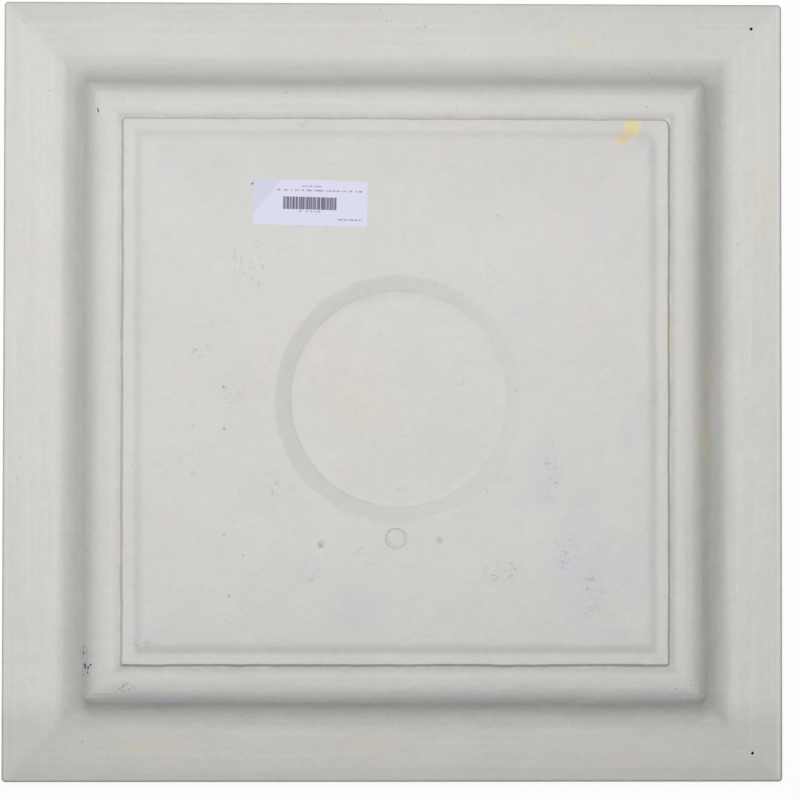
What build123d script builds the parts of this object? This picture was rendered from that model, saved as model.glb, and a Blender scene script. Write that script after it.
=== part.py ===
from build123d import *
import os
from math import atan, cos, degrees, hypot, sin

# Moulded foam ceiling tile, lying face down, with the paper label that is stuck to its back.
# Millimetres. +Z is the back, the side that faces the ceiling once the tile is up.
# +X is to the right and +Y is up, as one looks down on the back.
# The origin is the middle of the outline, on the level of the border's face.

# Outline
TILE_SIZE = 606.4            # 23 7/8 in, for a 24 in module
OUTLINE_CORNER_R = 3.0
BACK_EDGE_R = 2.0
FACE_EDGE_R = 1.0

# Heights of the back, from the border up to the centre panel
BORDER_THICKNESS = 12.7
OGEE_RISE = 21.3
STEP_RISE = 1.8
BEVEL_RISE = 2.3

# Widths of the back in plan, from the outline to the centre panel
BORDER_WIDTH = 40.0
COVE_RUN = 21.2              # hollow half of the ogee
SHOULDER_RUN = 22.7          # round half of the ogee
RIDGE_WIDTH = 7.8            # level ledge between the ogee and the step
BAND_WIDTH = 9.6             # level band between the step and the bevel
BEVEL_RUN = 10.4
CENTRE_SHIFT_X = 1.5         # the core of the raised centre sat off the middle of the mould
CENTRE_SHIFT_Y = -0.6
STEP_CORNER_R = 2.0
STEP_ROUND_CORNER_R = 8.0    # at the one corner, +X +Y, that is rounder than the others
PANEL_ROUND_CORNER_R = 15.0

# Round recess in the middle of the centre panel
RECESS_X = 3.8
RECESS_Y = -6.6
RECESS_FLOOR_R = 83.4
RECESS_RIM_R = 95.6
RECESS_DEPTH = 3.5

# Face, which lies underneath
MOULDING_WALL = 13.3         # foam behind the ogee and the centre panel
LEDGE_WIDTH = 7.2            # level ledge between the ogee and the sunk field
MEDALLION_R = 89.0           # middle line of the half-round bead
MEDALLION_BEAD_R = 5.0
MEDALLION_RISE = 1.5         # how far the disc inside the bead stands out of the field

# Nail holes through the border
NAIL_HOLE_R = 1.2
NAIL_HOLE_INSET_X = 23.6     # from the +X side
NAIL_HOLE_INSET_TOP = 19.2
NAIL_HOLE_INSET_BOTTOM = 22.4

# Paper label
LABEL_WIDTH = 87.7
LABEL_HEIGHT = 35.2
LABEL_THICKNESS = 0.2
LABEL_X = -64.8
LABEL_Y = 144.6
LABEL_TURN = -1.4            # degrees about +Z
CURL_ALONG = 22.0            # how far along the top edge its loose corner reaches
CURL_DOWN = 28.0             # and down the left edge
CURL_R = 60.0

# Worked out from the sizes above
RAISED_HALF = TILE_SIZE / 2 - BORDER_WIDTH
RIDGE_HALF = RAISED_HALF - COVE_RUN - SHOULDER_RUN
STEP_HALF = RIDGE_HALF - RIDGE_WIDTH
RIDGE_Z = BORDER_THICKNESS + OGEE_RISE
STEP_Z = RIDGE_Z + STEP_RISE
BACK_Z = STEP_Z + BEVEL_RISE
OGEE_SLOPE = 2 * atan(OGEE_RISE / (COVE_RUN + SHOULDER_RUN))
SHOULDER_R = SHOULDER_RUN / sin(OGEE_SLOPE)
COVE_R = COVE_RUN / sin(OGEE_SLOPE)
BEVEL_FOOT_HALF = STEP_HALF - BAND_WIDTH
FIELD_Z = BACK_Z - MOULDING_WALL
FIELD_COVE_R = BACK_Z - RIDGE_Z
FIELD_HALF = RIDGE_HALF - LEDGE_WIDTH - FIELD_COVE_R


def ogee(depth):
    """Return the ogee from the ridge outwards, at a depth under the surface of the back."""
    shoulder_r = SHOULDER_R - depth
    cove_r = COVE_R + depth
    start = Vector(RIDGE_HALF, RIDGE_Z - depth)
    turn = start + Vector(shoulder_r * sin(OGEE_SLOPE), -shoulder_r * (1 - cos(OGEE_SLOPE)))
    end = turn + Vector(cove_r * sin(OGEE_SLOPE), -cove_r * (1 - cos(OGEE_SLOPE)))
    shoulder = TangentArc(start, turn, tangent=(1, 0))
    cove = TangentArc(turn, end, tangent=(cos(OGEE_SLOPE), -sin(OGEE_SLOPE)))
    return shoulder, cove


def mitred(outline):
    """Return the square solid that has a half profile on all four sides, mitred at the corners."""
    half = make_face(outline)
    profile = half + mirror(half, about=Plane.YZ)
    along_y = extrude(Plane.XZ * profile, amount=TILE_SIZE, both=True)
    return along_y & along_y.rotate(Axis.Z, 90)


def square_with_round_corner(size, corner_r, round_corner_r):
    """Return a square sketch whose +X +Y corner has a radius of its own."""
    square = Rectangle(size, size)
    corners = square.vertices().sort_by(lambda corner: corner.X + corner.Y)
    square = fillet(corners[:3], corner_r)
    last = square.vertices().sort_by(lambda corner: corner.X + corner.Y)[-1]
    return fillet(last, round_corner_r)


def rim_edges(block, height):
    """Return the edges that run round the outline at this height."""
    rim = TILE_SIZE / 2 - OUTLINE_CORNER_R
    level = block.edges().group_by(Axis.Z)
    edges = min(level, key=lambda group: abs(group[0].center().Z - height))
    return edges.filter_by(lambda edge: max(abs(edge.center().X), abs(edge.center().Y)) > rim)


def outer_block():
    """Return the border and the raised centre up to the ridge, with the outline's edges eased."""
    shoulder, cove = ogee(0)
    far = TILE_SIZE
    lid = mitred([
        Line((0, 0), (0, RIDGE_Z)),
        Line((0, RIDGE_Z), shoulder @ 0),
        shoulder,
        cove,
        Line(cove @ 1, (far, BORDER_THICKNESS)),
        Line((far, BORDER_THICKNESS), (far, 0)),
        Line((far, 0), (0, 0)),
    ])
    outline = extrude(RectangleRounded(TILE_SIZE, TILE_SIZE, OUTLINE_CORNER_R), RIDGE_Z)
    block = Pos(CENTRE_SHIFT_X, CENTRE_SHIFT_Y, 0) * lid & outline
    block = fillet(rim_edges(block, BORDER_THICKNESS), BACK_EDGE_R)
    return fillet(rim_edges(block, 0), FACE_EDGE_R)


def centre_panel():
    """Return the panel with its round-topped bevel, and one corner rounder than the mitred rest."""
    flat_half = BEVEL_FOOT_HALF - BEVEL_RUN
    foot = (BEVEL_FOOT_HALF, STEP_Z)
    bevel = TangentArc((flat_half, BACK_Z), foot, tangent=(1, 0))
    panel = mitred([
        Line((0, RIDGE_Z), (0, BACK_Z)),
        Line((0, BACK_Z), (flat_half, BACK_Z)),
        bevel,
        Line(foot, (BEVEL_FOOT_HALF, RIDGE_Z)),
        Line((BEVEL_FOOT_HALF, RIDGE_Z), (0, RIDGE_Z)),
    ])
    turn_at = BEVEL_FOOT_HALF - PANEL_ROUND_CORNER_R
    inner = PANEL_ROUND_CORNER_R - BEVEL_RUN
    quarter_outline = [
        Line((0, RIDGE_Z), (0, BACK_Z)),
        Line((0, BACK_Z), (inner, BACK_Z)),
        bevel.moved(Location((-turn_at, 0))),
        Line((PANEL_ROUND_CORNER_R, STEP_Z), (PANEL_ROUND_CORNER_R, RIDGE_Z)),
        Line((PANEL_ROUND_CORNER_R, RIDGE_Z), (0, RIDGE_Z)),
    ]
    quarter = revolve(Plane.XZ * make_face(quarter_outline), Axis.Z, 90)
    corner = extrude(Rectangle(BEVEL_FOOT_HALF, BEVEL_FOOT_HALF, align=Align.MIN), BACK_Z)
    at_corner = Pos(turn_at, turn_at, 0)
    return panel - at_corner * corner + at_corner * quarter


def hollow():
    """Return the space under the tile, inside the border's face."""
    shoulder, cove = ogee(MOULDING_WALL)
    ledge = (FIELD_HALF + FIELD_COVE_R, RIDGE_Z - MOULDING_WALL)
    below = -MOULDING_WALL
    return mitred([
        Line((0, below), (0, FIELD_Z)),
        Line((0, FIELD_Z), (FIELD_HALF, FIELD_Z)),
        TangentArc((FIELD_HALF, FIELD_Z), ledge, tangent=(0, -1)),
        Line(ledge, shoulder @ 0),
        shoulder,
        cove,
        Line(cove @ 1, (RAISED_HALF, below)),
        Line((RAISED_HALF, below), (0, below)),
    ])


def ceiling_tile():
    """Return the whole moulded tile."""
    step = extrude(
        square_with_round_corner(2 * STEP_HALF, STEP_CORNER_R, STEP_ROUND_CORNER_R), STEP_RISE)
    recess = Pos(RECESS_X, RECESS_Y, BACK_Z - RECESS_DEPTH / 2) * Cone(
        RECESS_FLOOR_R, RECESS_RIM_R, RECESS_DEPTH)
    medallion = Pos(0, 0, FIELD_Z) * (
        Torus(MEDALLION_R, MEDALLION_BEAD_R) + Cylinder(MEDALLION_R, 2 * MEDALLION_RISE))
    centre = Pos(CENTRE_SHIFT_X, CENTRE_SHIFT_Y, 0)
    tile = outer_block() + centre * Pos(0, 0, RIDGE_Z) * step + centre * centre_panel()
    tile = tile - recess - hollow() + medallion
    hole_x = TILE_SIZE / 2 - NAIL_HOLE_INSET_X
    hole_ys = (TILE_SIZE / 2 - NAIL_HOLE_INSET_TOP, NAIL_HOLE_INSET_BOTTOM - TILE_SIZE / 2)
    for hole_y in hole_ys:
        tile -= Pos(hole_x, hole_y, 0) * Cylinder(NAIL_HOLE_R, 3 * BORDER_THICKNESS)
    return tile


def paper_label():
    """Return the label, stuck flat on the centre panel but for one corner that curls up."""
    along = Vector(-LABEL_WIDTH / 2 + CURL_ALONG, LABEL_HEIGHT / 2)
    fold_length = hypot(CURL_ALONG, CURL_DOWN)
    to_corner = Vector(-CURL_DOWN, CURL_ALONG) / fold_length
    reach = LABEL_WIDTH + LABEL_HEIGHT
    turn = degrees(CURL_ALONG * CURL_DOWN / fold_length / CURL_R) + 2
    under = JernArc((0, 0), (1, 0), CURL_R, turn)
    over = JernArc((0, LABEL_THICKNESS), (1, 0), CURL_R - LABEL_THICKNESS, turn)
    section = make_face([
        Line((-reach, 0), (0, 0)),
        under,
        Line(under @ 1, over @ 1),
        over,
        Line((0, LABEL_THICKNESS), (-reach, LABEL_THICKNESS)),
        Line((-reach, LABEL_THICKNESS), (-reach, 0)),
    ])
    across_fold = Plane(origin=along, x_dir=to_corner, z_dir=to_corner.cross(Vector(0, 0, 1)))
    sheet = extrude(across_fold * section, amount=reach, both=True)
    label = sheet & extrude(Rectangle(LABEL_WIDTH, LABEL_HEIGHT), CURL_R)
    return Pos(LABEL_X, LABEL_Y, BACK_Z) * Rot(0, 0, LABEL_TURN) * label


os.makedirs("parts", exist_ok=True)
export_step(ceiling_tile(), "parts/ceiling_tile.step")
export_step(paper_label(), "parts/paper_label.step")
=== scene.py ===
"""Looks of the moulded foam ceiling tile, seen from its back, in Blender.

Metres, in the same frame as the solids: +Z is the tile's back, +X is right and +Y is up as one
looks down on it. The tile lies on its border's face, so the floor is at z = 0.
"""
import logging
import math
from dataclasses import dataclass
from enum import Enum
from typing import Callable, Iterator

import bpy
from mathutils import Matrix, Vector

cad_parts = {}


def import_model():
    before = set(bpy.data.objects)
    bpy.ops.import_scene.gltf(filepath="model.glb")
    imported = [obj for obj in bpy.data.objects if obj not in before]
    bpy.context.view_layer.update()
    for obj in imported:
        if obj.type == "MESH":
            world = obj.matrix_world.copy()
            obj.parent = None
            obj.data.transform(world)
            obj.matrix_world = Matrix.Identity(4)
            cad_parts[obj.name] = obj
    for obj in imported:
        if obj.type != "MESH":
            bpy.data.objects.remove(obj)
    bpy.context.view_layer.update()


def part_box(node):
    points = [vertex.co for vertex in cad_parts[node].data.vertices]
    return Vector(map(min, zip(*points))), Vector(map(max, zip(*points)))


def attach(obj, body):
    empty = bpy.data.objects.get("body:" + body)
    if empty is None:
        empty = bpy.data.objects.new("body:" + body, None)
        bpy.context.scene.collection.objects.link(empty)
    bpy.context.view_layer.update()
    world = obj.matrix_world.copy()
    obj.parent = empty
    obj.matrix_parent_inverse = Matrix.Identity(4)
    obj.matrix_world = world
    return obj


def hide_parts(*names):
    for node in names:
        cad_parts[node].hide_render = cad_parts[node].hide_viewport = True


LOG = logging.getLogger("ceiling_tile")
MM = 0.001
Colour = tuple[float, float, float]


class Pick(Enum):
    """What edit mode selects."""

    FACES = "FACE"
    EDGES = "EDGE"


class Bench:
    """The few modelling habits that every piece is made with."""

    @staticmethod
    def clear() -> None:
        """Deselect every object."""
        if bpy.context.object and bpy.context.object.mode != "OBJECT":
            bpy.ops.object.mode_set(mode="OBJECT")
        bpy.ops.object.select_all(action="DESELECT")

    @staticmethod
    def take(piece: bpy.types.Object) -> None:
        """Make one object the only selected and the active one.

        Args:
            piece: The object to work on.
        """
        Bench.clear()
        piece.select_set(True)
        bpy.context.view_layer.objects.active = piece

    @staticmethod
    def name(name: str) -> bpy.types.Object:
        """Name the active object and apply its place to its mesh.

        Args:
            name: The new name.

        Returns:
            The active object.
        """
        piece = bpy.context.object
        piece.name = name
        piece.data.name = name
        bpy.ops.object.transform_apply(location=True, rotation=True, scale=True)
        return piece

    @staticmethod
    def pick(piece: bpy.types.Object, kind: Pick, wanted: Callable) -> None:
        """Go to edit mode with only the wanted faces or edges selected.

        Args:
            piece: The object to edit.
            kind: Whether faces or edges are picked.
            wanted: A test of a polygon, or of an edge's two end points.
        """
        Bench.take(piece)
        bpy.ops.object.mode_set(mode="EDIT")
        bpy.ops.mesh.select_mode(type=kind.value)
        bpy.ops.mesh.select_all(action="DESELECT")
        bpy.ops.object.mode_set(mode="OBJECT")
        mesh = piece.data
        if kind is Pick.FACES:
            for face in mesh.polygons:
                face.select = wanted(face)
        else:
            points = [vertex.co for vertex in mesh.vertices]
            for edge in mesh.edges:
                edge.select = wanted(*(points[i] for i in edge.vertices))
        bpy.ops.object.mode_set(mode="EDIT")

    @staticmethod
    def done() -> None:
        """Leave edit mode."""
        bpy.ops.object.mode_set(mode="OBJECT")

    @staticmethod
    def modify(piece: bpy.types.Object, kind: str, **settings: object) -> None:
        """Add a modifier to a piece and apply it.

        Args:
            piece: The object that gets the modifier.
            kind: Blender's name of the modifier's type.
            settings: The modifier's own settings.
        """
        Bench.take(piece)
        modifier = piece.modifiers.new(kind.lower(), kind)
        for key, value in settings.items():
            setattr(modifier, key, value)
        bpy.ops.object.modifier_apply(modifier=modifier.name)


@dataclass(frozen=True)
class Arc:
    """A round stretch of the moulding's section, made of short level-and-rise steps."""

    radius: float
    slope_from: float
    slope_to: float
    parts: int

    def steps(self) -> Iterator[tuple[float, float]]:
        """Yield each step's width in plan and its rise."""
        turn = (self.slope_to - self.slope_from) / self.parts
        for part in range(self.parts):
            low = self.slope_from + part * turn
            high = low + turn
            yield (self.radius * abs(math.sin(high) - math.sin(low)),
                   self.radius * abs(math.cos(high) - math.cos(low)))


@dataclass(frozen=True)
class Corner:
    """One corner of one of the tile's square lines, to be rounded.

    Its arc is whole from steady_out outside its line to steady_in inside it, and fades beyond.
    """

    side_x: int
    side_y: int
    line_in: float
    radius: float
    steady_out: float = 0.0
    fade_out: float = 1.0 * MM
    steady_in: float = 0.0
    fade_in: float = 1.0 * MM
    lowest: float = 11.0 * MM


@dataclass(frozen=True)
class Patch:
    """A turned rectangle on the back."""

    x: float
    y: float
    width: float
    height: float
    turn: float
    fade: float = 15 * MM

    def distance_share(self, point: Vector) -> float:
        """Return 0 inside the patch, rising to 1 some way outside it.

        Args:
            point: A place on the tile.

        Returns:
            The share.
        """
        across = (point.x - self.x) * math.cos(self.turn) + (point.y - self.y) * math.sin(self.turn)
        up = (point.y - self.y) * math.cos(self.turn) - (point.x - self.x) * math.sin(self.turn)
        out_x = max(abs(across) - self.width / 2, 0.0)
        out_y = max(abs(up) - self.height / 2, 0.0)
        return min(1.0, math.hypot(out_x, out_y) / self.fade)


LABEL_PATCH = Patch(-64.8 * MM, 144.6 * MM, 94 * MM, 41 * MM, math.radians(-1.4))


@dataclass
class MouldedTile:
    """The whole tile as one shell: border, ogee, step, band, bevelled panel and sunk face."""

    side: float
    back: float
    edge_round: float = 2.0 * MM
    face_round: float = 1.0 * MM
    outline_corner: float = 3.0 * MM
    border_thickness: float = 12.7 * MM
    ogee_rise: float = 21.3 * MM
    step_rise: float = 1.8 * MM
    border_width: float = 40.0 * MM
    cove_run: float = 21.2 * MM
    shoulder_run: float = 22.7 * MM
    ridge_width: float = 6.9 * MM
    gutter_run: float = 5.0 * MM
    gutter_depth: float = 0.9 * MM
    step_draft: float = 2.1 * MM
    step_round: float = 0.4 * MM
    band_width: float = 10.5 * MM
    bevel_run: float = 10.4 * MM
    bevel_foot: float = 4.6 * MM
    bevel_slope: float = math.radians(17.2)
    panel_rim: float = 14.0 * MM
    shift: tuple[float, float] = (1.5 * MM, -0.6 * MM)
    recess_at: tuple[float, float] = (3.8 * MM, -6.6 * MM)
    recess_rim: float = 95.6 * MM
    recess_floor: float = 83.4 * MM
    recess_depth: float = 3.5 * MM
    wall: float = 13.3 * MM
    ledge_width: float = 7.2 * MM
    medallion_radius: float = 89.0 * MM
    bead_radius: float = 5.0 * MM
    medallion_rise: float = 1.5 * MM
    cells: int = 84
    field_rings: int = 12

    @property
    def ogee_slope(self) -> float:
        """The slope where the ogee turns over."""
        return 2 * math.atan(self.ogee_rise / (self.cove_run + self.shoulder_run))

    @property
    def bevel_rise(self) -> float:
        """How far the panel stands above the band."""
        return self.back - self.border_thickness - self.ogee_rise - self.step_rise

    @property
    def cusp_in(self) -> float:
        """How far the ogee's turn lies from the outline."""
        return self.border_width + self.cove_run

    @property
    def step_in(self) -> float:
        """How far the foot of the step lies from the outline."""
        return self.cusp_in + self.shoulder_run + self.ridge_width

    @property
    def panel_in(self) -> float:
        """How far the foot of the panel's bevel lies from the outline."""
        return self.step_in + self.band_width

    def inset(self, width: float, rise: float = 0.0) -> None:
        """Inset the selected face and move the new one along its normal."""
        bpy.ops.mesh.inset(thickness=width, depth=rise)

    def level(self, width: float, rings: int) -> None:
        """Inset the selected face on its own level in several rings."""
        for _ in range(rings):
            self.inset(width / rings)

    def follow(self, arc: Arc, sign: int = 1) -> None:
        """Inset the selected face along a round stretch of the section."""
        for width, rise in arc.steps():
            self.inset(width, sign * rise)

    def shape_back(self) -> None:
        """Raise the back from the rim to the centre panel."""
        slope = self.ogee_slope
        self.follow(Arc(self.edge_round, math.pi / 2, 0, 4))
        self.level(self.border_width - self.edge_round, 8)
        bpy.ops.transform.translate(value=(*self.shift, 0))
        self.follow(Arc(self.cove_run / math.sin(slope), 0, slope, 12))
        self.follow(Arc(self.shoulder_run / math.sin(slope), slope, 0, 12))
        gutter_slope = 2 * math.atan(self.gutter_depth / self.gutter_run)
        self.level(self.ridge_width - self.gutter_run, 2)
        self.follow(Arc(self.gutter_run / math.sin(gutter_slope), 0, gutter_slope, 4), -1)
        self.inset(self.step_draft, self.step_rise + self.gutter_depth - self.step_round)
        self.follow(Arc(self.step_round, math.pi / 2, 0, 3))
        self.level(self.band_width - self.step_draft - self.step_round, 4)
        foot = self.bevel_foot * math.tan(self.bevel_slope)
        for _ in range(3):
            self.inset(self.bevel_foot / 3, foot / 3)
        run = self.bevel_run - self.bevel_foot
        self.follow(Arc(run / math.sin(self.bevel_slope), self.bevel_slope, 0, 6))
        self.level(self.panel_rim, 3)

    def shape_face(self) -> None:
        """Sink the face from the border's plane to the square field."""
        slope = self.ogee_slope
        cove = self.cove_run / math.sin(slope) + self.wall
        rise = self.wall - self.border_thickness
        skipped = math.acos(1 - rise / cove)
        self.follow(Arc(self.face_round, math.pi / 2, 0, 2))
        self.level(self.border_width - self.face_round + cove * math.sin(skipped), 1)
        self.follow(Arc(cove, skipped, slope, 10), -1)
        self.follow(Arc(self.shoulder_run / math.sin(slope) - self.wall, slope, 0, 8), -1)
        self.level(self.ledge_width, 1)
        self.follow(Arc(self.step_rise + self.bevel_rise, math.pi / 2, 0, 5), -1)

    def blank(self) -> bpy.types.Object:
        """Model the shell by insets from a slab.

        Returns:
            The shell, before its details are cut.
        """
        low = self.face_round
        high = self.border_thickness - self.edge_round
        Bench.clear()
        bpy.ops.mesh.primitive_cube_add(
            size=1, location=(0, 0, (low + high) / 2), scale=(self.side, self.side, high - low))
        shell = Bench.name("moulded_tile")
        Bench.pick(shell, Pick.FACES, lambda face: face.normal.z > 0.5)
        self.shape_back()
        bpy.ops.mesh.delete(type="ONLY_FACE")
        Bench.pick(shell, Pick.FACES, lambda face: face.normal.z < -0.5 and face.center.z < low + MM)
        self.shape_face()
        bpy.ops.mesh.delete(type="ONLY_FACE")
        Bench.done()
        return shell

    def corner_cuts(self) -> Iterator[float]:
        """Yield how far from the outline the extra cuts near the corners lie."""
        for run in (0.4, 0.9, 1.5, 2.2, 3.0):
            yield run * MM
        for run in (1.0, 2.0, 3.2, 4.6, 6.4):
            yield self.cusp_in + run * MM
        for run in (1.2, 2.4, 4.0, 5.8, 8.0):
            yield self.step_in + run * MM
        for run in (1.5, 3.0, 5.0, 7.5, 10.0, 12.5, 15.0):
            yield self.panel_in + run * MM

    def grid(self, shell: bpy.types.Object) -> None:
        """Cut lines near the corners, then divide every ring of the section along its length.

        Args:
            shell: The tile's object.
        """
        def along(a: Vector, b: Vector) -> bool:
            """Tell whether an edge runs along a side of the tile."""
            run = b - a
            return run.length > 0.1 and (abs(run.x) < MM or abs(run.y) < MM)

        Bench.take(shell)
        bpy.ops.object.mode_set(mode="EDIT")
        for cut_in in self.corner_cuts():
            for axis in (0, 1):
                for sign in (1, -1):
                    point, normal = [0.0, 0.0, 0.0], [0.0, 0.0, 0.0]
                    moved = self.shift[axis] if cut_in > self.border_width else 0.0
                    point[axis] = sign * (self.side / 2 - cut_in) + moved
                    normal[axis] = 1.0
                    bpy.ops.mesh.select_all(action="SELECT")
                    bpy.ops.mesh.bisect(plane_co=point, plane_no=normal)
        Bench.done()
        Bench.pick(shell, Pick.EDGES, along)
        bpy.ops.mesh.subdivide(number_cuts=self.cells)
        Bench.done()

    def fill_opening(self, shell: bpy.types.Object, level: float, up: bool) -> None:
        """Close a square opening of the shell with one face, and leave it selected.

        Args:
            shell: The tile's object.
            level: The opening's height.
            up: Whether the new face looks up.
        """
        mesh = shell.data
        Bench.take(shell)
        bpy.ops.object.mode_set(mode="EDIT")
        bpy.ops.mesh.select_mode(type="EDGE")
        bpy.ops.mesh.select_all(action="DESELECT")
        bpy.ops.object.mode_set(mode="OBJECT")
        used = [0] * len(mesh.edges)
        for face in mesh.polygons:
            for key in face.loop_indices:
                used[mesh.loops[key].edge_index] += 1
        for edge in mesh.edges:
            ends = [mesh.vertices[i].co for i in edge.vertices]
            edge.select = used[edge.index] < 2 and all(abs(end.z - level) < 0.1 * MM for end in ends)
        bpy.ops.object.mode_set(mode="EDIT")
        bpy.ops.mesh.edge_face_add()
        bpy.ops.mesh.select_mode(type="FACE")
        bpy.ops.object.mode_set(mode="OBJECT")
        lid = next(face for face in mesh.polygons if face.select)
        if (lid.normal.z > 0) != up:
            bpy.ops.object.mode_set(mode="EDIT")
            bpy.ops.mesh.flip_normals()

    def round_field(self, shell: bpy.types.Object, at: tuple[float, float], radius: float,
                    up: bool) -> None:
        """Fill a square opening of the shell up to a circle, and leave the disc selected.

        Args:
            shell: The tile's object.
            at: The circle's centre in plan.
            radius: The circle's radius.
            up: Whether it is the back's opening or the face's.
        """
        level = max(vertex.co.z for vertex in shell.data.vertices) if up else self.field_level
        self.fill_opening(shell, level, up)
        bpy.ops.object.mode_set(mode="OBJECT")
        mesh = shell.data
        lid = next(face for face in mesh.polygons if face.select)
        square = [mesh.vertices[i].co.copy() for i in lid.vertices]
        middle = Vector((*at, level))
        start, following = square[0] - middle, square[1] - middle
        turn = math.copysign(2 * math.pi / len(square), start.cross(following).z)
        begin = math.atan2(start.y, start.x)
        circle = [middle + radius * Vector((math.cos(begin + place * turn),
                                            math.sin(begin + place * turn), 0))
                  for place in range(len(square))]
        last = square
        for ring in range(1, self.field_rings + 1):
            bpy.ops.object.mode_set(mode="EDIT")
            bpy.ops.mesh.inset(thickness=0.2 * MM)
            bpy.ops.object.mode_set(mode="OBJECT")
            lid = next(face for face in mesh.polygons if face.select)
            first = mesh.vertices[lid.vertices[0]].co
            shift = min(range(len(last)), key=lambda place: (last[place] - first).length)
            last = [mesh.vertices[i].co.copy() for i in lid.vertices]
            for place, index in enumerate(lid.vertices):
                source = (place + shift) % len(square)
                between = square[source].lerp(circle[source], ring / self.field_rings)
                mesh.vertices[index].co = between
                last[place] = between
            square = square[shift:] + square[:shift]
            circle = circle[shift:] + circle[:shift]
        bpy.ops.object.mode_set(mode="EDIT")

    @property
    def field_level(self) -> float:
        """The height of the square field underneath."""
        return self.back - self.wall

    def sink_recess(self, shell: bpy.types.Object) -> None:
        """Model the round recess of the back, with its soft rim and crisp foot.

        Args:
            shell: The tile's object, open at the back's centre.
        """
        rim, crease = 1.2 * MM, 0.5 * MM
        run = self.recess_rim - self.recess_floor - crease
        slope = math.atan(self.recess_depth / (run + rim / 2))
        self.round_field(shell, self.recess_at, self.recess_rim + rim / 2, True)
        self.follow(Arc(rim / math.sin(slope), 0, slope, 2), -1)
        straight = run - rim / 2
        for _ in range(3):
            self.inset(straight / 3, -straight / 3 * math.tan(slope))
        sunk = rim * math.tan(slope / 2) + straight * math.tan(slope)
        self.inset(crease, sunk - self.recess_depth)
        self.level(self.recess_floor - 8 * MM, 10)
        Bench.done()

    def raise_medallion(self, shell: bpy.types.Object) -> None:
        """Model the half-round bead and the low disc of the face.

        Args:
            shell: The tile's object, open at the face's centre.
        """
        bead = self.bead_radius
        turn = math.acos(self.medallion_rise / bead)
        self.round_field(shell, (0.0, 0.0), self.medallion_radius + bead, False)
        self.follow(Arc(bead, math.pi / 2, 0, 6))
        self.follow(Arc(bead, 0, turn, 6), -1)
        self.level(self.medallion_radius - bead - 8 * MM, 6)
        Bench.done()

    def round_corner(self, shell: bpy.types.Object, corner: Corner) -> None:
        """Turn the square lines near one corner into arcs, which no bevel of a thin ring can do.

        Args:
            shell: The tile's object.
            corner: Which corner of which outline is rounded, and how far in and out it fades.
        """
        moved = self.shift if corner.line_in > self.border_width else (0.0, 0.0)
        middle_in = corner.line_in + corner.radius
        middle_x = corner.side_x * (self.side / 2 - middle_in) + moved[0]
        middle_y = corner.side_y * (self.side / 2 - middle_in) + moved[1]
        for vertex in shell.data.vertices:
            out_x = corner.side_x * (vertex.co.x - middle_x)
            out_y = corner.side_y * (vertex.co.y - middle_y)
            if min(out_x, out_y) <= 0 or vertex.co.z < corner.lowest:
                continue
            reach = max(out_x, out_y)
            past = max(reach - corner.radius - corner.steady_out, 0.0)
            short = max(corner.radius - corner.steady_in - reach, 0.0)
            share = max(0.0, 1 - past / corner.fade_out) * max(0.0, 1 - short / corner.fade_in)
            arc = reach / math.hypot(out_x, out_y)
            scale = 1 - share * (1 - arc)
            vertex.co.x = middle_x + corner.side_x * out_x * scale
            vertex.co.y = middle_y + corner.side_y * out_y * scale

    def corners(self) -> Iterator[Corner]:
        """Yield the rounded corners, from the outline inwards."""
        everywhere = [(x, y) for x in (1, -1) for y in (1, -1)]
        for x, y in everywhere:
            yield Corner(x, y, 0.0, self.outline_corner, steady_in=self.outline_corner, lowest=-1.0)
        cusp = {(1, 1): 8.0, (-1, 1): 6.0, (1, -1): 9.0, (-1, -1): 9.0}
        for x, y in everywhere:
            yield Corner(x, y, self.cusp_in, cusp[x, y] * MM, fade_out=16 * MM, fade_in=12 * MM)
        step = {(1, 1): 8.0, (-1, 1): 4.0, (1, -1): 3.0, (-1, -1): 2.0}
        for x, y in everywhere:
            yield Corner(x, y, self.step_in, step[x, y] * MM, fade_out=3 * MM, steady_out=5.3 * MM,
                         steady_in=1.3 * MM, fade_in=3 * MM)
        panel = {(1, 1): 15.0, (-1, 1): 5.0, (1, -1): 5.0, (-1, -1): 4.0}
        for x, y in everywhere:
            yield Corner(x, y, self.panel_in, panel[x, y] * MM, fade_out=5 * MM, steady_in=15 * MM)

    def fields_for_wear(self, shell: bpy.types.Object, keep_flat: "Patch") -> None:
        """Weigh where the back may sag and where its lines may wander.

        Args:
            shell: The tile's object.
            keep_flat: The patch under the label, which stays as it is.
        """
        sag = shell.vertex_groups.new(name="sag")
        wander = shell.vertex_groups.new(name="wander")
        for vertex in shell.data.vertices:
            rim_in = self.side / 2 - max(abs(vertex.co.x), abs(vertex.co.y))
            up_ogee = (rim_in - self.border_width) / (self.cove_run + self.shoulder_run)
            surface = self.border_thickness + self.ogee_rise * min(1.0, max(0.0, up_ogee))
            if rim_in < self.edge_round or vertex.co.z < surface - self.wall / 2:
                continue
            ease = min(1.0, (rim_in - self.edge_round) / (20 * MM))
            sag.add([vertex.index], ease * keep_flat.distance_share(vertex.co), "REPLACE")
            wander.add([vertex.index], ease, "REPLACE")

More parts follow.
